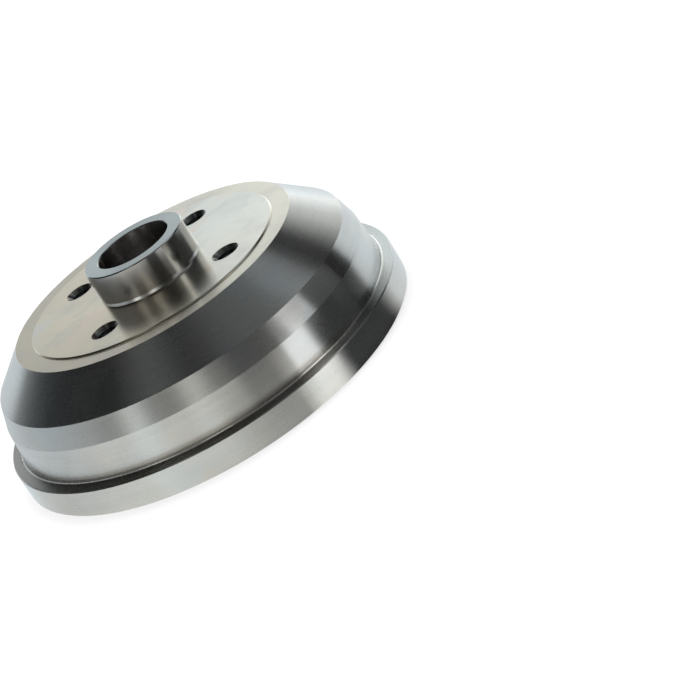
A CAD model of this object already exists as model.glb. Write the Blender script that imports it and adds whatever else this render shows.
"""Studio scene of a rear brake drum, turned from one iron casting.

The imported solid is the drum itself.  This script gives its turned and cast
surfaces their finishes, winds the threads into its bolt holes, and sets the
drum on a pale floor under soft light.
"""

import logging
from dataclasses import dataclass
from enum import Enum
from math import cos, degrees, radians, sin

import bpy
from mathutils import Matrix, Vector


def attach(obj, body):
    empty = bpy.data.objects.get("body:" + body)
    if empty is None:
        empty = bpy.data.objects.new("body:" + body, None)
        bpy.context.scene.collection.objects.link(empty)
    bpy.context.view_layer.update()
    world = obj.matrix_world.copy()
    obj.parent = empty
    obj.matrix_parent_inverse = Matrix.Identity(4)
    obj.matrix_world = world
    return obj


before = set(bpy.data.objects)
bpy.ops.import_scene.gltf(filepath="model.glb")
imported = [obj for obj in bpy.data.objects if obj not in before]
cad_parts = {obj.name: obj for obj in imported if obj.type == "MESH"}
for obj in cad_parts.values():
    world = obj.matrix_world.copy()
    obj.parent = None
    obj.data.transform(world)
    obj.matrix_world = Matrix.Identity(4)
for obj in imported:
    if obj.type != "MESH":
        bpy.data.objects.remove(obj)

log = logging.getLogger("brake_drum")

MM = 0.001
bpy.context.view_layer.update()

Colour = tuple[float, float, float, float]
Span = tuple[float, float]
Triple = tuple[float, float, float]


class Operation(Enum):
    """Math node operations that shader sums are made of."""

    ADD = "ADD"
    SUBTRACT = "SUBTRACT"
    MULTIPLY = "MULTIPLY"
    DIVIDE = "DIVIDE"
    POWER = "POWER"
    SMALLEST = "MINIMUM"
    LARGEST = "MAXIMUM"
    ANGLE = "ARCTAN2"
    SINE = "SINE"
    COSINE = "COSINE"
    ABSOLUTE = "ABSOLUTE"


class Signal:
    """A number that a shader works out, used in Python sums like any number."""

    def __init__(self, graph: "Graph", socket: bpy.types.NodeSocket) -> None:
        """Wrap a socket.

        Args:
            graph: the graph that the socket belongs to.
            socket: the output that carries the number.
        """
        self.graph = graph
        self.socket = socket

    def __add__(self, other: "Signal | float") -> "Signal":
        """Return the sum."""
        return self.graph.math(Operation.ADD, self, other)

    def __radd__(self, other: float) -> "Signal":
        """Return the sum with a plain number on the left."""
        return self.graph.math(Operation.ADD, other, self)

    def __sub__(self, other: "Signal | float") -> "Signal":
        """Return the difference."""
        return self.graph.math(Operation.SUBTRACT, self, other)

    def __rsub__(self, other: float) -> "Signal":
        """Return the difference from a plain number."""
        return self.graph.math(Operation.SUBTRACT, other, self)

    def __mul__(self, other: "Signal | float") -> "Signal":
        """Return the product."""
        return self.graph.math(Operation.MULTIPLY, self, other)

    def __rmul__(self, other: float) -> "Signal":
        """Return the product with a plain number on the left."""
        return self.graph.math(Operation.MULTIPLY, other, self)

    def __truediv__(self, other: "Signal | float") -> "Signal":
        """Return the quotient."""
        return self.graph.math(Operation.DIVIDE, self, other)

    def __rtruediv__(self, other: float) -> "Signal":
        """Return a plain number divided by this one."""
        return self.graph.math(Operation.DIVIDE, other, self)

    def __pow__(self, other: "Signal | float") -> "Signal":
        """Return the power."""
        return self.graph.math(Operation.POWER, self, other)

    def rise(self, start: float, end: float) -> "Signal":
        """Return a soft step from 0 at start to 1 at end.

        Args:
            start: where the step is 0; it may lie above end for a falling step.
            end: where the step is 1.

        Returns:
            The step.
        """
        low, high = min(start, end), max(start, end)
        ends = (0.0, 1.0) if start < end else (1.0, 0.0)
        step = self.graph.node(
            "ShaderNodeMapRange",
            {"interpolation_type": "SMOOTHSTEP"},
            {
                "Value": self,
                "From Min": low,
                "From Max": high,
                "To Min": ends[0],
                "To Max": ends[1],
            },
        )
        return Signal(self.graph, step.outputs["Result"])


Input = Signal | bpy.types.NodeSocket | float | tuple[float, ...]


class Graph:
    """The node tree of one material or of the world."""

    def __init__(self, tree: bpy.types.NodeTree) -> None:
        """Empty a tree and take it over.

        Args:
            tree: the tree to fill.
        """
        self.tree = tree
        tree.nodes.clear()

    def node(
        self, kind: str, settings: dict[str, object], sockets: dict[str | int, Input]
    ) -> bpy.types.Node:
        """Add a node, set it up and feed it.

        Args:
            kind: the node's type.
            settings: its properties.
            sockets: a value or a link for each input, by name or place.

        Returns:
            The new node.
        """
        made = self.tree.nodes.new(kind)
        for name, setting in settings.items():
            setattr(made, name, setting)
        for name, value in sockets.items():
            if isinstance(value, Signal):
                value = value.socket
            if isinstance(value, bpy.types.NodeSocket):
                self.tree.links.new(value, made.inputs[name])
            else:
                made.inputs[name].default_value = value
        return made

    def math(
        self, operation: Operation, first: Signal | float, second: Signal | float = 0.0
    ) -> Signal:
        """Return the result of one Math node.

        Args:
            operation: what the node does.
            first: its first number.
            second: its second number, if it uses one.

        Returns:
            The result.
        """
        made = self.node("ShaderNodeMath", {"operation": operation.value}, {0: first, 1: second})
        return Signal(self, made.outputs[0])

    def both(self, *masks: Signal) -> Signal:
        """Return the product of several masks.

        Args:
            masks: the masks to multiply.

        Returns:
            Their product.
        """
        product = masks[0]
        for mask in masks[1:]:
            product = product * mask
        return product

    def blend(self, factor: Input, first: Input, second: Input) -> bpy.types.NodeSocket:
        """Mix two colours.

        Args:
            factor: 0 for the first colour, 1 for the second.
            first: a colour of four numbers, or a link.
            second: the other colour.

        Returns:
            The mixed colour.
        """
        made = self.node(
            "ShaderNodeMix",
            {"data_type": "RGBA", "clamp_factor": True},
            {0: factor, 6: first, 7: second},
        )
        return made.outputs[2]

    def layer(
        self, factor: Input, under: bpy.types.NodeSocket, over: bpy.types.NodeSocket
    ) -> bpy.types.NodeSocket:
        """Mix two shaders.

        Args:
            factor: 0 where the first shows, 1 where the second does.
            under: the first shader.
            over: the second shader.

        Returns:
            The mixed shader.
        """
        made = self.node("ShaderNodeMixShader", {}, {0: factor, 1: under, 2: over})
        return made.outputs[0]

    def vector(self, x: Input, y: Input, z: Input) -> bpy.types.NodeSocket:
        """Return a vector made of three numbers."""
        return self.node("ShaderNodeCombineXYZ", {}, {"X": x, "Y": y, "Z": z}).outputs[0]

    def direction(self, vector: Input) -> bpy.types.NodeSocket:
        """Return the direction of a vector, one unit long."""
        made = self.node("ShaderNodeVectorMath", {"operation": "NORMALIZE"}, {0: vector})
        return made.outputs[0]

    def noise(
        self,
        vector: Input,
        size: float,
        detail: float = 2.0,
        depth: Input | None = None,
    ) -> Signal:
        """Return soft noise about 0.5.

        Args:
            vector: where to read it.
            size: how many features there are to a unit of the vector.
            detail: how many finer layers are added.
            depth: a fourth coordinate, where one is needed.

        Returns:
            The noise.
        """
        sockets: dict[str | int, Input] = {
            "Vector": vector,
            "Scale": size,
            "Detail": detail,
            "Roughness": 0.55,
        }
        if depth is not None:
            sockets["W"] = depth
        settings = {"noise_dimensions": "3D" if depth is None else "4D"}
        return Signal(self, self.node("ShaderNodeTexNoise", settings, sockets).outputs[0])

    def dot(self, direction: bpy.types.NodeSocket, aim: Vector) -> Signal:
        """Return how far one vector points along another.

        Args:
            direction: the vector that varies.
            aim: the fixed one.

        Returns:
            1 where they agree, 0 where they are square.
        """
        made = self.node(
            "ShaderNodeVectorMath", {"operation": "DOT_PRODUCT"}, {0: direction, 1: tuple(aim)}
        )
        return Signal(self, made.outputs["Value"])

    def ridge(self, value: Signal, middle: float, half: float) -> Signal:
        """Return a soft ridge: 1 at its middle and 0 beyond its half width.

        Args:
            value: the number that the ridge lies across.
            middle: where its crest is.
            half: its half width.

        Returns:
            The ridge.
        """
        return value.rise(middle - half, middle) * value.rise(middle + half, middle)

    def lobe(self, direction: bpy.types.NodeSocket, aim: Vector, spread: float) -> Signal:
        """Return a soft patch of sky: 1 at its middle and 0 beyond its spread.

        Args:
            direction: the way the ray looks.
            aim: the patch's middle.
            spread: its radius in degrees.

        Returns:
            The patch.
        """
        return self.dot(direction, aim).rise(cos(radians(spread)), 1.0)


@dataclass(frozen=True)
class DrumSizes:
    """Sizes of the drum that its finishes are laid out by, in millimetres."""

    face_height: float = 66.0
    pad_radius: float = 70.3
    ring_height: float = 65.2
    shoulder_radius: float = 80.2
    cone_slope: float = 18.2 / 20.6
    track_radius: float = 100.0
    track_top: float = 34.7
    flange_height: float = 15.8
    wall_radius: float = 106.2
    root_radius: float = 36.3
    hub_end: float = 8.6
    seal_radius: float = 26.5
    grease_radius: float = 22.0
    grease_foot: float = 26.57
    grease_top: float = 57.7
    nose_radius: float = 28.25
    nose_top: float = 83.7
    bolt_circle_radius: float = 50.0
    bolt_hole_radius: float = 5.25
    bolt_mouth_radius: float = 7.6
    bolt_mouth_foot: float = 63.65
    boss_end: float = 48.7


SIZES = DrumSizes()


def new_material(name: str) -> tuple[bpy.types.Material, Graph]:
    """Make an empty material.

    Args:
        name: the material's name.

    Returns:
        The material and its graph.
    """
    material = bpy.data.materials.new(name)
    material.use_nodes = True
    return material, Graph(material.node_tree)


@dataclass(frozen=True)
class Stain:
    """A tint that covers the metal more and more as a pattern's value runs over a span."""

    colour: Colour
    start: float
    end: float
    strength: float = 1.0

    def over(self, graph: Graph, pattern: Signal, under: Input) -> bpy.types.NodeSocket:
        """Lay the tint over a colour.

        Args:
            graph: the material's graph.
            pattern: the pattern that spreads the tint.
            under: the colour below.

        Returns:
            The stained colour.
        """
        mask = pattern.rise(self.start, self.end)
        if self.strength < 1.0:
            mask = mask * self.strength
        return graph.blend(mask, under, self.colour)


@dataclass(frozen=True)
class TurnedIron:
    """Iron straight from the lathe, with its fine turning marks and tints."""

    colour: Colour = (0.58, 0.58, 0.565, 1.0)
    dull: Colour = (0.48, 0.49, 0.475, 1.0)
    steel: Stain = Stain((0.55, 0.59, 0.605, 1.0), 0.48, 0.64, 0.6)
    straw: Stain = Stain((0.61, 0.575, 0.53, 1.0), 0.50, 0.66, 0.5)
    cream: Colour = (0.84, 0.74, 0.58, 1.0)
    pale: Stain = Stain((0.84, 0.81, 0.72, 1.0), 0.36, 0.62)
    mint: Stain = Stain((0.74, 0.79, 0.75, 1.0), 0.42, 0.78, 0.5)
    rose: Stain = Stain((0.84, 0.67, 0.56, 1.0), 0.48, 0.64, 0.7)
    sky: Stain = Stain((0.72, 0.75, 0.76, 1.0), 0.58, 0.72, 0.4)
    ring: Colour = (0.70, 0.62, 0.485, 1.0)
    pale_ring: Stain = Stain((0.84, 0.81, 0.72, 1.0), 0.20, 0.34, 0.6)
    rose_ring: Stain = Stain((0.84, 0.67, 0.56, 1.0), 0.50, 0.70, 0.3)
    face_haze: Stain = Stain((0.48, 0.49, 0.475, 1.0), 0.40, 0.75, 0.35)
    root: Colour = (0.42, 0.405, 0.375, 1.0)
    bright_root: Stain = Stain((0.62, 0.645, 0.64, 1.0), 0.07, 0.19)
    root_line: Colour = (0.94, 0.93, 0.89, 1.0)
    nose: Colour = (0.58, 0.575, 0.56, 1.0)
    nose_end: Colour = (0.40, 0.43, 0.425, 1.0)
    bright_end: Stain = Stain((0.48, 0.52, 0.515, 1.0), -0.10, -0.20)
    bore: Colour = (0.42, 0.40, 0.385, 1.0)
    hole: Colour = (0.12, 0.125, 0.125, 1.0)
    countersink_oil: float = 0.7
    pale_lean: float = 0.16
    pit_size: float = 700.0
    blotch_size: float = 45.0
    cloud_size: float = 14.0
    flush_size: float = 24.0
    bloom_size: float = 22.0
    wall_roughness: float = 0.25
    wall_anisotropy: float = 0.92
    face_roughness: float = 0.20
    face_anisotropy: float = 0.45
    nose_roughness: float = 0.16
    nose_anisotropy: float = 0.75
    round_the_axis: float = 0.25
    coarse_marks: float = 0.45
    fine_marks: float = 9.0
    fine_marks_shine: float = 0.04
    cloud_shine: float = 0.08
    bump_strength: float = 0.08
    bump_height: float = 0.00004

    def plain(
        self, graph: Graph, place: "Place", bloom: Signal, flush: Signal, blotch: Signal
    ) -> bpy.types.NodeSocket:
        """Return the colour of the walls: bare metal, duller where it is worn.

        Args:
            graph: the material's graph.
            place: where the shaded point lies on the drum.
            bloom: the pattern of the blue patches.
            flush: the pattern of the straw patches.
            blotch: the pattern of the worn patches.

        Returns:
            The walls' colour.
        """
        pits = graph.noise(place.position, self.pit_size, 2.0)
        streaks = place.marks(self.coarse_marks).rise(0.3, 0.8)
        worn = streaks * 0.4 + pits.rise(0.5, 0.75) * 0.4 + blotch * 0.3
        colour = graph.blend(worn, self.colour, self.dull)
        colour = self.steel.over(graph, bloom, colour)
        return self.straw.over(graph, flush, colour)

    def tints(self, graph: Graph, place: "Place") -> bpy.types.NodeSocket:
        """Return the colour of the metal, patch by patch.

        Args:
            graph: the material's graph.
            place: where the shaded point lies on the drum.

        Returns:
            The metal's colour.
        """
        blotch = graph.noise(place.position, self.blotch_size, 4.0)
        cloud = graph.noise(place.position, self.cloud_size, 3.0)
        flush = graph.noise(place.position, self.flush_size, 3.0, 7.0)
        bloom = graph.noise(place.position, self.bloom_size, 1.5, 3.0)
        pale_side = place.east * self.pale_lean + place.north * self.pale_lean
        plain = self.plain(graph, place, bloom, flush, blotch)
        pad = self.pale.over(graph, cloud + pale_side, self.cream)
        pad = self.mint.over(graph, bloom + pale_side * 0.5, pad)
        pad = self.rose.over(graph, flush, pad)
        pad = self.sky.over(graph, bloom - pale_side * 0.3, pad)
        ring = self.pale_ring.over(graph, flush * 0.5 + pale_side, self.ring)
        ring = self.rose_ring.over(graph, blotch, ring)
        edge = place.radius.rise(SIZES.pad_radius - 0.1, SIZES.pad_radius + 0.1)
        face = self.face_haze.over(graph, blotch, graph.blend(edge, pad, ring))
        colour = graph.blend(place.face(), plain, face)
        root = self.bright_root.over(graph, pale_side, self.root)
        colour = graph.blend(place.root(), colour, root)
        colour = graph.blend(place.root_line(), colour, self.root_line)
        colour = graph.blend(place.nose(), colour, self.nose)
        end = self.bright_end.over(graph, pale_side, self.nose_end)
        colour = graph.blend(place.nose_end(), colour, end)
        colour = graph.blend(place.bores(), colour, self.bore)
        oily = place.bolt_holes() + place.countersinks() * self.countersink_oil
        return graph.blend(oily, colour, self.hole)

    def dress(self, graph: Graph, place: "Place") -> bpy.types.NodeSocket:
        """Build the finish.

        Args:
            graph: the material's graph.
            place: where the shaded point lies on the drum.

        Returns:
            The finish's shader.
        """
        colour = self.tints(graph, place)
        fine = place.marks(self.fine_marks)
        bump = graph.node(
            "ShaderNodeBump",
            {},
            {
                "Strength": self.bump_strength,
                "Distance": self.bump_height,
                "Height": fine + place.marks(self.coarse_marks) * 0.5,
                "Normal": place.tight_root(),
            },
        )
        cloud = graph.noise(place.position, 60.0, 3.0) - 0.5
        uneven = fine * self.fine_marks_shine + cloud * self.cloud_shine
        walls, faces, nose = (
            graph.node(
                "ShaderNodeBsdfPrincipled",
                {},
                {
                    "Base Color": colour,
                    "Metallic": 1.0,
                    "Roughness": roughness + uneven,
                    "Anisotropic": anisotropy,
                    "Anisotropic Rotation": self.round_the_axis,
                    "Normal": bump.outputs[0],
                },
            ).outputs[0]
            for roughness, anisotropy in (
                (self.wall_roughness, self.wall_anisotropy),
                (self.face_roughness, self.face_anisotropy),
                (self.nose_roughness, self.nose_anisotropy),
            )
        )
        finish = graph.layer(place.face() + place.nose_end(), walls, faces)
        return graph.layer(place.nose(), finish, nose)


@dataclass(frozen=True)
class CastIron:
    """Raw casting skin, nearly black and sandy."""

    colour: Colour = (0.036, 0.035, 0.036, 1.0)
    worn: Colour = (0.12, 0.115, 0.11, 1.0)
    sand_size: float = 900.0
    lump_size: float = 160.0
    metal_share: float = 0.35
    roughness: float = 0.62
    roughness_spread: float = 0.3
    bump_strength: float = 0.6
    bump_height: float = 0.0006

    def dress(self, graph: Graph, place: "Place") -> bpy.types.NodeSocket:
        """Build the finish.

        Args:
            graph: the material's graph.
            place: where the shaded point lies on the drum.

        Returns:
            The finish's shader.
        """
        sand = graph.noise(place.position, self.sand_size, 4.0)
        lumps = graph.noise(place.position, self.lump_size, 3.0)
        colour = graph.blend(sand.rise(0.5, 0.8) * lumps, self.colour, self.worn)
        bump = graph.node(
            "ShaderNodeBump",
            {},
            {
                "Strength": self.bump_strength,
                "Distance": self.bump_height,
                "Height": sand + lumps,
            },
        )
        made = graph.node(
            "ShaderNodeBsdfPrincipled",
            {},
            {
                "Base Color": colour,
                "Metallic": self.metal_share,
                "Roughness": self.roughness + (lumps - 0.5) * self.roughness_spread,
                "Normal": bump.outputs[0],
            },
        )
        return made.outputs[0]


class Place:
    """Where a shaded point lies on the drum: radius, height and angle.

    Its masks are 1 on the surface that they are named for and 0 elsewhere, with
    soft edges.
    """

    eye_slope: float = 0.435

    def __init__(self, graph: Graph) -> None:
        """Read the object coordinates.

        Args:
            graph: the material's graph.
        """
        self.graph = graph
        self.position = graph.node("ShaderNodeTexCoord", {}, {}).outputs["Object"]
        parts = graph.node("ShaderNodeSeparateXYZ", {}, {0: self.position})
        x = Signal(graph, parts.outputs[0]) / MM
        y = Signal(graph, parts.outputs[1]) / MM
        self.height = Signal(graph, parts.outputs[2]) / MM
        self.radius = (x * x + y * y) ** 0.5
        x_size = graph.math(Operation.ABSOLUTE, x)
        y_size = graph.math(Operation.ABSOLUTE, y)
        along = graph.math(Operation.LARGEST, x_size, y_size) - SIZES.bolt_circle_radius
        aside = graph.math(Operation.SMALLEST, x_size, y_size)
        self.from_bolt = (along * along + aside * aside) ** 0.5
        self.east = x / self.radius
        self.north = y / self.radius

    def marks(self, fineness: float) -> Signal:
        """Return noise drawn out round the axis, as a lathe tool leaves it.

        Args:
            fineness: how many marks there are to a millimetre.

        Returns:
            The noise.
        """
        graph = self.graph
        across = graph.vector(self.radius * fineness, self.east * 1.5, self.north * 1.5)
        return graph.noise(across, 1.0, 2.0, self.height * fineness)

    def face(self) -> Signal:
        """Return the mask of the wheel face: the pad and the ring round it.

        Returns:
            The mask.
        """
        above = self.height.rise(SIZES.ring_height - 0.15, SIZES.ring_height - 0.05)
        below = self.height.rise(SIZES.face_height + 0.4, SIZES.face_height + 0.1)
        return above * below

    def root(self) -> Signal:
        """Return the mask of the turned root between the flange and the wall.

        Returns:
            The mask.
        """
        return self.graph.both(
            self.height.rise(SIZES.flange_height - 0.4, SIZES.flange_height - 0.1),
            self.height.rise(SIZES.flange_height + 5.0, SIZES.flange_height + 3.0),
            self.radius.rise(SIZES.track_radius + 3.0, SIZES.track_radius + 4.0),
        )

    def root_depth(self) -> tuple[Signal, Signal, Signal]:
        """Return how far a point lies out from the wall and above the flange, and its depth.

        The depth counts down through the root as an eye beside the drum sees it.

        Returns:
            The three measures in millimetres.
        """
        out = self.radius - SIZES.wall_radius
        rest = self.height - SIZES.flange_height
        return out, rest, rest - out * self.eye_slope

    def root_line(self) -> Signal:
        """Return the mask of the bright line that the tool leaves at the wall's foot.

        Returns:
            The mask.
        """
        out, _, depth = self.root_depth()
        return self.graph.both(
            self.graph.ridge(depth, 0.45, 0.7), out.rise(-0.1, 0.1), out.rise(3.2, 3.0)
        )

    def tight_root(self) -> bpy.types.NodeSocket:
        """Return the normal, which turns faster through the root than the solid does.

        The foot of the wall then mirrors the flange, with one bright line under it.

        Returns:
            The normal.
        """
        graph = self.graph
        out, rest, depth = self.root_depth()
        lean = depth.rise(1.1, -0.45) * radians(90.0)
        level = graph.math(Operation.COSINE, lean)
        upward = graph.math(Operation.SINE, lean)
        tight = graph.vector(self.east * level, self.north * level, upward)
        solid = graph.node("ShaderNodeNewGeometry", {}, {}).outputs["Normal"]
        within = graph.both(
            rest.rise(0.0, 0.02), rest.rise(3.1, 2.9), out.rise(-0.3, -0.1), out.rise(3.2, 3.1)
        )
        return graph.blend(within, solid, tight)

    def nose(self) -> Signal:
        """Return the mask of the nose's outer wall.

        Returns:
            The mask.
        """
        return self.graph.both(
            self.height.rise(SIZES.face_height + 0.02, SIZES.face_height + 0.1),
            self.height.rise(SIZES.nose_top - 0.05, SIZES.nose_top - 0.2),
            self.radius.rise(SIZES.nose_radius - 1.0, SIZES.nose_radius - 0.7),
        )

    def nose_end(self) -> Signal:
        """Return the mask of the end face of the nose."""
        return self.height.rise(SIZES.nose_top - 0.2, SIZES.nose_top - 0.05)

    def bores(self) -> Signal:
        """Return the mask of the bores for the bearings, the seal and the dust cap.

        Returns:
            The mask.
        """
        return self.graph.both(
            self.radius.rise(SIZES.seal_radius + 0.2, SIZES.seal_radius + 0.1),
            self.height.rise(SIZES.nose_top - 0.3, SIZES.nose_top - 0.5),
            self.height.rise(SIZES.hub_end + 0.3, SIZES.hub_end + 0.5),
        )

    def bolt_holes(self) -> Signal:
        """Return the mask of the threaded holes, dark with cutting oil."""
        return self.from_bolt.rise(SIZES.bolt_hole_radius + 0.2, SIZES.bolt_hole_radius + 0.1)

    def countersinks(self) -> Signal:
        """Return the mask of the bolt holes' countersunk mouths.

        Returns:
            The mask.
        """
        return self.graph.both(
            self.from_bolt.rise(SIZES.bolt_mouth_radius + 0.1, SIZES.bolt_mouth_radius),
            self.height.rise(SIZES.face_height - 0.02, SIZES.face_height - 0.06),
            self.height.rise(SIZES.bolt_mouth_foot - 0.1, SIZES.bolt_mouth_foot),
        )

    def casting(self) -> Signal:
        """Return the mask of the surfaces that no tool has touched.

        Returns:
            The mask.
        """
        graph = self.graph
        drop = self.height - SIZES.ring_height
        cone = (self.radius - SIZES.shoulder_radius) * SIZES.cone_slope + drop
        depth = graph.math(Operation.LARGEST, drop, cone)
        inside = graph.both(
            depth.rise(-3.0, -4.0),
            self.radius.rise(SIZES.track_radius - 0.9, SIZES.track_radius - 1.4),
            self.height.rise(SIZES.track_top + 0.2, SIZES.track_top + 0.6),
            self.radius.rise(SIZES.root_radius - 0.1, SIZES.root_radius - 0.02),
            self.from_bolt.rise(SIZES.bolt_hole_radius + 0.05, SIZES.bolt_hole_radius + 0.15),
        )
        grease = graph.both(
            self.radius.rise(SIZES.grease_radius + 0.3, SIZES.grease_radius + 0.1),
            self.height.rise(SIZES.grease_foot, SIZES.grease_foot + 0.1),
            self.height.rise(SIZES.grease_top, SIZES.grease_top - 0.1),
        )
        return inside + grease


@dataclass(frozen=True)
class Drum:
    """The drum itself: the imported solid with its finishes."""

    turned: TurnedIron = TurnedIron()
    cast: CastIron = CastIron()

    def dress(self) -> bpy.types.Material:
        """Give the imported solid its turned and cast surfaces.

        Returns:
            The material that carries them.
        """
        material, graph = new_material("turned_and_cast_iron")
        place = Place(graph)
        turned = self.turned.dress(graph, place)
        cast = self.cast.dress(graph, place)
        mixed = graph.layer(place.casting(), turned, cast)
        graph.node("ShaderNodeOutputMaterial", {}, {"Surface": mixed})
        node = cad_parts["brake_drum"]
        node.data.materials.clear()
        node.data.materials.append(material)
        log.info("brake_drum: turned and cast iron on the packed solid")
        return material


@dataclass(frozen=True)
class BoltThreads:
    """Threads of the wheel-bolt holes, each a fine ridge wound up the hole's wall."""

    crest_radius: float = 5.0
    foot_radius: float = 5.32
    half_thickness: float = 0.55
    pitch: float = 1.5
    turns: int = 9
    steps: int = 40
    run_in: float = 0.3
    smooth_below: float = 30.0
    ways: tuple[tuple[int, int, int], ...] = ((1, 0, 0), (0, 1, 0), (-1, 0, 0), (0, -1, 0))

    def build(self, material: bpy.types.Material) -> None:
        """Wind one thread and put a copy of it in each hole.

        Args:
            material: the drum's own material.
        """
        pieces = [self.wind(material)]
        while len(pieces) < len(self.ways):
            copy = pieces[0].copy()
            copy.data = pieces[0].data.copy()
            bpy.context.scene.collection.objects.link(copy)
            pieces.append(copy)
        for number, (piece, way) in enumerate(zip(pieces, self.ways), start=1):
            piece.name = f"bolt_thread_{number}"
            piece.data.transform(Matrix.Translation(Vector(way) * SIZES.bolt_circle_radius * MM))
            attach(piece, "root")
            log.info("%s placed", piece.name)

    def wind(self, material: bpy.types.Material) -> bpy.types.Object:
        """Wind a thread round the drum's axis.

        Args:
            material: the drum's own material.

        Returns:
            The thread, closed at both ends.
        """
        start = Vector((0.0, 0.0, SIZES.boss_end + self.half_thickness + self.run_in)) * MM
        corner = self.half_thickness / sin(radians(60.0))
        squash = (self.foot_radius - self.crest_radius) / (corner * 1.5)
        outward = (self.foot_radius - corner * 0.5 * squash) * MM
        bpy.ops.object.select_all(action="DESELECT")
        bpy.ops.mesh.primitive_circle_add(
            vertices=3,
            radius=corner * MM,
            location=start,
            rotation=(radians(90.0), radians(-90.0), 0.0),
        )
        bpy.ops.object.transform_apply(location=True, rotation=True, scale=True)
        bpy.ops.object.mode_set(mode="EDIT")
        bpy.ops.transform.resize(value=(squash, 1.0, 1.0), center_override=start)
        bpy.ops.transform.translate(value=(outward, 0.0, 0.0))
        bpy.ops.object.mode_set(mode="OBJECT")
        piece = bpy.context.active_object
        screw = piece.modifiers.new("screw", "SCREW")
        screw.screw_offset = self.pitch * MM
        screw.iterations = self.turns
        screw.steps = self.steps
        screw.render_steps = self.steps
        bpy.ops.object.modifier_apply(modifier=screw.name)
        bpy.ops.object.mode_set(mode="EDIT")
        bpy.ops.mesh.select_all(action="SELECT")
        bpy.ops.mesh.remove_doubles(threshold=0.001 * MM)
        bpy.ops.mesh.fill_holes(sides=3)
        bpy.ops.mesh.normals_make_consistent(inside=False)
        bpy.ops.object.mode_set(mode="OBJECT")
        bpy.ops.object.shade_smooth_by_angle(angle=radians(self.smooth_below))
        piece.data.materials.clear()
        piece.data.materials.append(material)
        return piece


@dataclass(frozen=True)
class Camera:
    """The camera, and the directions that the studio is laid out by.

    Its place is in millimetres.  Directions are given by degrees round the drum
    from the camera's side, to the right.
    """

    place: Triple = (723.2, -775.6, 432.4)
    right: Triple = (0.7919, 0.38295, -0.47565)
    down: Triple = (-0.18417, -0.59287, -0.78395)
    focal_pixels: float = 2200.0
    image_pixels: float = 700.0
    sensor: float = 36.0
    nearest: float = 0.01

    def toward(self, angle: float, rise: float = 0.0) -> Vector:
        """Return a direction from the drum.

        Args:
            angle: degrees round the axis from the camera's side, to the right.
            rise: degrees above the floor.

        Returns:
            The direction, one unit long.
        """
        ahead = Vector(self.place[:2]).normalized()
        right = Vector((-ahead.y, ahead.x))
        flat = ahead * cos(radians(angle)) + right * sin(radians(angle))
        level = cos(radians(rise))
        return Vector((flat.x * level, flat.y * level, sin(radians(rise))))

    def build(self) -> None:
        """Set up the camera and make it the scene's own."""
        data = bpy.data.cameras.new("camera")
        data.sensor_width = self.sensor
        data.lens = self.focal_pixels * self.sensor / self.image_pixels
        data.clip_start = self.nearest
        camera = bpy.data.objects.new("camera", data)
        right = Vector(self.right)
        up = -Vector(self.down)
        turn = Matrix((right, up, right.cross(up))).transposed().to_4x4()
        camera.matrix_world = Matrix.Translation(Vector(self.place) * MM) @ turn
        bpy.context.scene.collection.objects.link(camera)
        bpy.context.scene.camera = camera
        log.info("camera placed")


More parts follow.
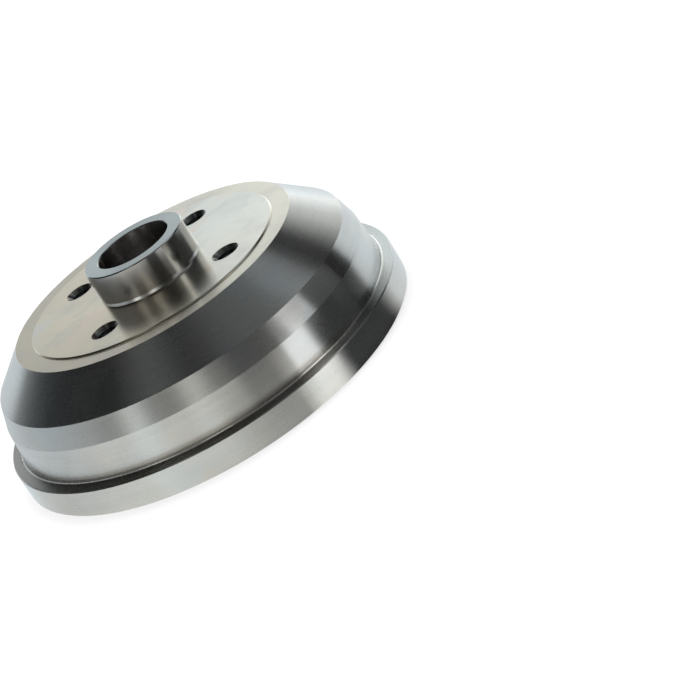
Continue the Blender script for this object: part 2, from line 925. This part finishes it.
@dataclass(frozen=True)
class Floor:
    """A pale floor that shows white, keeps the drum's shadow and is clear from below.

    The metal mirrors streaks in it.  Their spans are the degrees round the axis,
    from the camera's side to the right, at which the flange's wall mirrors them.
    """

    size: float = 12.0
    level: float = -0.0002
    flange_radius: float = 113.0
    paper: Colour = (0.86, 0.86, 0.86, 1.0)
    white: Colour = (1.0, 1.0, 1.0, 1.0)
    cool: Colour = (0.93, 1.0, 1.04, 1.0)
    warm: Colour = (1.0, 1.0, 0.95, 1.0)
    white_share: float = 0.75
    mirrored_share: float = 0.96
    pale: float = 1.03
    pale_end: Span = (18.0, 15.5)
    front_shade: Span = (-22.0, 16.0)
    front_shade_depth: float = 0.53
    left_shade: tuple[Span, Span] = ((-98.0, -62.0), (-35.0, -62.0))
    left_shade_depth: float = 0.22
    flash: tuple[Span, Span] = ((14.5, 19.0), (33.0, 25.0))
    flash_level: float = 1.30
    open_side: Span = (52.0, 64.0)
    open_side_level: float = 0.95
    least: float = 0.02
    back: float = 0.86
    back_lean: float = 0.12

    def build(self, camera: Camera) -> None:
        """Lay the floor.

        Args:
            camera: the camera, for its directions.
        """
        bpy.ops.object.select_all(action="DESELECT")
        bpy.ops.mesh.primitive_plane_add(size=self.size, location=(0.0, 0.0, self.level))
        floor = bpy.context.active_object
        floor.name = "floor"
        material, graph = new_material("floor_paper")
        path = graph.node("ShaderNodeLightPath", {}, {})
        seen = Signal(graph, path.outputs["Is Camera Ray"])
        mirrored = Signal(graph, path.outputs["Is Glossy Ray"])
        paper = graph.node("ShaderNodeBsdfDiffuse", {}, {"Color": self.paper})
        white = graph.node("ShaderNodeEmission", {}, {"Color": self.white, "Strength": 1.0})
        mixed = graph.layer(seen * self.white_share, paper.outputs[0], white.outputs[0])
        shown = self.streaks(graph, camera)
        mixed = graph.layer(mirrored * self.mirrored_share, mixed, shown)
        under = graph.node("ShaderNodeNewGeometry", {}, {}).outputs["Backfacing"]
        clear = graph.node("ShaderNodeBsdfTransparent", {}, {})
        mixed = graph.layer(under, mixed, clear.outputs[0])
        graph.node("ShaderNodeOutputMaterial", {}, {"Surface": mixed})
        floor.data.materials.append(material)
        log.info("floor laid")

    def streaks(self, graph: Graph, camera: Camera) -> bpy.types.NodeSocket:
        """Return the glow that the metal mirrors in the floor.

        Args:
            graph: the floor's graph.
            camera: the camera, for its directions.

        Returns:
            The glow's shader.
        """
        spot = graph.node("ShaderNodeTexCoord", {}, {}).outputs["Object"]
        way = graph.direction(spot)
        length = graph.node("ShaderNodeVectorMath", {"operation": "LENGTH"}, {0: spot})
        reach = Signal(graph, length.outputs["Value"])
        to_front = graph.dot(way, camera.toward(0.0))
        to_right = graph.dot(way, camera.toward(90.0))
        angle = graph.math(Operation.ANGLE, to_right, to_front) * degrees(1.0)
        turn = angle / (2.0 - self.flange_radius * MM / reach)
        front = turn.rise(*self.front_shade) * self.front_shade_depth
        left = turn.rise(*self.left_shade[0]) * turn.rise(*self.left_shade[1])
        pale = (self.pale - front - left * self.left_shade_depth) * turn.rise(*self.pale_end)
        flash = turn.rise(*self.flash[0]) * turn.rise(*self.flash[1]) * self.flash_level
        open_side = turn.rise(*self.open_side) * self.open_side_level
        streaks = pale + flash + open_side + self.least
        behind = self.back + to_right * self.back_lean
        level = behind + to_front.rise(-0.5, 0.0) * (streaks - behind)
        tint = graph.blend(to_front.rise(-0.2, 1.0), self.cool, self.warm)
        made = graph.node("ShaderNodeEmission", {}, {"Color": tint, "Strength": level})
        return made.outputs[0]


@dataclass(frozen=True)
class Glow:
    """A soft round patch of sky: its middle and radius in degrees, and its strength."""

    angle: float
    rise: float
    spread: float
    strength: float


@dataclass(frozen=True)
class Strip:
    """An upright strip of sky: its middle and half width in degrees, and its strength."""

    middle: float
    half: float
    strength: float


@dataclass(frozen=True)
class Sky:
    """A pale horizon and a pale back wall under a dark ceiling.

    Heights are sines of the rise above the floor.  Sides are sines or cosines of
    the angle round the drum.
    """

    cool: Colour = (0.93, 1.0, 1.04, 1.0)
    warm: Colour = (1.0, 1.0, 0.95, 1.0)
    neutral: Colour = (0.98, 1.0, 0.98, 1.0)
    white: Colour = (1.0, 1.0, 1.0, 1.0)
    warm_spread: float = 100.0
    least: float = 0.02
    horizon: Span = (0.48, -0.12)
    horizon_level: float = 0.66
    low_reach: Span = (0.31, 0.17)
    low_strips: tuple[Strip, ...] = (
        Strip(-70.0, 12.0, -0.35),
        Strip(-51.0, 12.0, 2.8),
        Strip(-32.0, 12.0, -0.5),
        Strip(-14.0, 13.0, 3.0),
    )
    high_reach: Span = (0.5, 0.8)
    high_strip: Strip = Strip(-53.0, 19.0, 0.28)
    dusks: tuple[Glow, ...] = (Glow(88.0, 16.0, 32.0, 0.85), Glow(17.0, 20.0, 26.0, 0.9))
    glows: tuple[Glow, ...] = (
        Glow(100.0, 50.5, 14.0, 0.36),
        Glow(72.0, 62.0, 36.0, 0.16),
        Glow(54.0, 20.0, 9.0, 1.30),
        Glow(162.0, 2.0, 24.0, 0.30),
        Glow(138.0, 24.0, 15.0, -0.18),
        Glow(147.0, 12.0, 12.0, -0.12),
    )
    wall_height: float = 0.62
    wall_tallest: float = 0.85
    wall_fade: Span = (1.05, 0.2)
    wall_level: float = 0.85
    wall_lift: float = 0.45
    wall_drop: float = 0.24

    def build(self, camera: Camera) -> None:
        """Set the world up.

        Args:
            camera: the camera, for its directions.
        """
        world = bpy.data.worlds.new("studio")
        bpy.context.scene.world = world
        world.use_nodes = True
        graph = Graph(world.node_tree)
        way = graph.node("ShaderNodeTexCoord", {}, {}).outputs["Generated"]
        parts = graph.node("ShaderNodeSeparateXYZ", {}, {0: way})
        rise = Signal(graph, parts.outputs[2])
        flat_way = graph.direction(graph.vector(parts.outputs[0], parts.outputs[1], 0.0))
        behind = graph.dot(flat_way, camera.toward(180.0))
        to_right = graph.dot(flat_way, camera.toward(90.0))
        right = behind.rise(0.20, 0.60) * to_right.rise(-0.1, 0.4)
        angle = graph.math(Operation.ANGLE, to_right, behind * -1.0) * degrees(1.0)
        low = self.low_sky(graph, angle, rise)
        for dusk in self.dusks:
            aim = camera.toward(dusk.angle, dusk.rise)
            low = low * (1.0 - graph.lobe(way, aim, dusk.spread) * dusk.strength)
        wall = self.back_wall(graph, behind, to_right, right, rise)
        level = graph.math(Operation.LARGEST, low, wall) + self.least
        high = graph.ridge(angle, self.high_strip.middle, self.high_strip.half)
        level = level + high * rise.rise(*self.high_reach) * self.high_strip.strength
        for glow in self.glows:
            aim = camera.toward(glow.angle, glow.rise)
            level = level + graph.lobe(way, aim, glow.spread) * glow.strength
        warm = graph.lobe(way, camera.toward(0.0), self.warm_spread)
        tint = graph.blend(warm, self.cool, self.warm)
        tint = graph.blend(right * rise.rise(0.0, 0.2), tint, self.neutral)
        path = graph.node("ShaderNodeLightPath", {}, {})
        seen = Signal(graph, path.outputs["Is Camera Ray"])
        strength = level * (1.0 - seen) + seen
        colour = graph.blend(seen, tint, self.white)
        back = graph.node("ShaderNodeBackground", {}, {"Color": colour, "Strength": strength})
        graph.node("ShaderNodeOutputWorld", {}, {"Surface": back.outputs[0]})
        log.info("world set")

    def low_sky(self, graph: Graph, angle: Signal, rise: Signal) -> Signal:
        """Return the brightness of the sky near the horizon, strip by strip.

        Args:
            graph: the world's graph.
            angle: degrees round the drum from the camera's side.
            rise: the height in the sky.

        Returns:
            The brightness.
        """
        level = rise.rise(*self.horizon) * self.horizon_level
        low = rise.rise(*self.low_reach)
        for strip in self.low_strips:
            ridge = graph.ridge(angle, strip.middle, strip.half)
            level = level * (1.0 + ridge * low * strip.strength)
        return level

    def back_wall(
        self, graph: Graph, behind: Signal, to_right: Signal, right: Signal, rise: Signal
    ) -> Signal:
        """Return the brightness of the pale wall behind the drum and to its right.

        Args:
            graph: the world's graph.
            behind: how far the ray looks away from the camera.
            to_right: how far it looks to the right.
            right: the mask of the wall's right wing.
            rise: the height in the sky.

        Returns:
            The brightness.
        """
        wings = behind.rise(0.62, 1.04) * self.wall_height + right * self.wall_height
        top = graph.math(Operation.SMALLEST, wings, self.wall_tallest) + 0.001
        lift = to_right.rise(-0.2, 0.3) * self.wall_lift
        drop = to_right.rise(0.3, 0.6) * self.wall_drop
        return (rise / top).rise(*self.wall_fade) * (self.wall_level + lift - drop)


@dataclass(frozen=True)
class Card:
    """An upright card beside the drum, which shows only in the drum's metal.

    It runs from a first to a last angle, in degrees round the axis from the
    camera's side.  Its reach from the axis and the heights of its foot and top
    are millimetres, and it is as bright as "low" at its foot and "high" at its
    top.
    """

    name: str
    first: float
    last: float
    reach: float
    foot: float
    top: float
    low: float
    high: float
    soft_edge: float = 0.22

    def build(self, camera: Camera) -> None:
        """Stand the card on the floor.

        Args:
            camera: the camera, for its directions.
        """
        up = Vector((0.0, 0.0, MM))
        corners = [
            camera.toward(angle) * self.reach * MM + up * height
            for height in (self.foot, self.top)
            for angle in (self.first, self.last)
        ]
        bpy.ops.object.select_all(action="DESELECT")
        bpy.ops.mesh.primitive_plane_add(size=1.0)
        piece = bpy.context.active_object
        piece.name = self.name
        for vertex, corner in zip(piece.data.vertices, corners):
            vertex.co = corner
        piece.visible_camera = False
        piece.visible_diffuse = False
        piece.visible_shadow = False
        material, graph = new_material(self.name)
        spot = graph.node("ShaderNodeTexCoord", {}, {}).outputs["UV"]
        parts = graph.node("ShaderNodeSeparateXYZ", {}, {0: spot})
        along = Signal(graph, parts.outputs[0])
        upward = Signal(graph, parts.outputs[1])
        strength = self.low + upward * (self.high - self.low)
        board = graph.node("ShaderNodeEmission", {}, {"Strength": strength})
        clear = graph.node("ShaderNodeBsdfTransparent", {}, {})
        solid = along.rise(0.0, self.soft_edge) * along.rise(1.0, 1.0 - self.soft_edge)
        mixed = graph.layer(solid, clear.outputs[0], board.outputs[0])
        graph.node("ShaderNodeOutputMaterial", {}, {"Surface": mixed})
        piece.data.materials.append(material)
        log.info("%s set out", self.name)


@dataclass(frozen=True)
class Lamp:
    """A large soft lamp that lights but isn't mirrored, in degrees, metres and watts."""

    name: str
    angle: float
    rise: float
    size: float
    power: float
    distance: float = 2.0

    def build(self, camera: Camera) -> None:
        """Hang the lamp, facing the drum.

        Args:
            camera: the camera, for its directions.
        """
        data = bpy.data.lights.new(self.name, "AREA")
        data.shape = "SQUARE"
        data.size = self.size
        data.energy = self.power
        lamp = bpy.data.objects.new(self.name, data)
        aim = camera.toward(self.angle, self.rise)
        turn = aim.to_track_quat("Z", "Y").to_matrix().to_4x4()
        lamp.matrix_world = Matrix.Translation(aim * self.distance) @ turn
        lamp.visible_glossy = False
        bpy.context.scene.collection.objects.link(lamp)
        log.info("%s hung", self.name)


@dataclass(frozen=True)
class Studio:
    """Everything round the drum: camera, floor, sky, cards and lamps."""

    camera: Camera = Camera()
    floor: Floor = Floor()
    sky: Sky = Sky()
    cards: tuple[Card, ...] = (
        Card("front_flag", 3.0, 33.0, 190.0, 0.0, 110.0, 0.20, 0.02),
        Card("low_card", 22.5, 36.0, 141.0, 0.0, 37.0, 1.50, 1.40),
        Card("high_card", 27.5, 44.0, 141.0, 37.0, 62.0, 1.25, 0.70),
        Card("low_flag", 34.0, 55.0, 138.0, 0.0, 37.0, 0.05, 0.05),
        Card("tall_flag", 41.0, 62.0, 139.0, 0.0, 85.0, 0.03, 0.20),
        Card("side_flag", 54.0, 77.0, 150.0, 0.0, 90.0, 0.03, 0.02),
    )
    lamps: tuple[Lamp, ...] = (
        Lamp("overhead_lamp", 150.0, 70.0, 1.6, 60.0),
        Lamp("side_lamp", -60.0, 40.0, 1.2, 25.0),
    )

    def build(self) -> None:
        """Set up everything round the drum."""
        bpy.context.scene.view_settings.view_transform = "Standard"
        self.camera.build()
        for fitting in (self.floor, self.sky, *self.cards, *self.lamps):
            fitting.build(self.camera)


def main() -> None:
    """Dress the drum, wind its threads and set up the studio round it."""
    logging.basicConfig(level=logging.INFO, format="%(name)s: %(message)s")
    iron = Drum().dress()
    BoltThreads().build(iron)
    Studio().build()


if __name__ == "__main__":
    main()
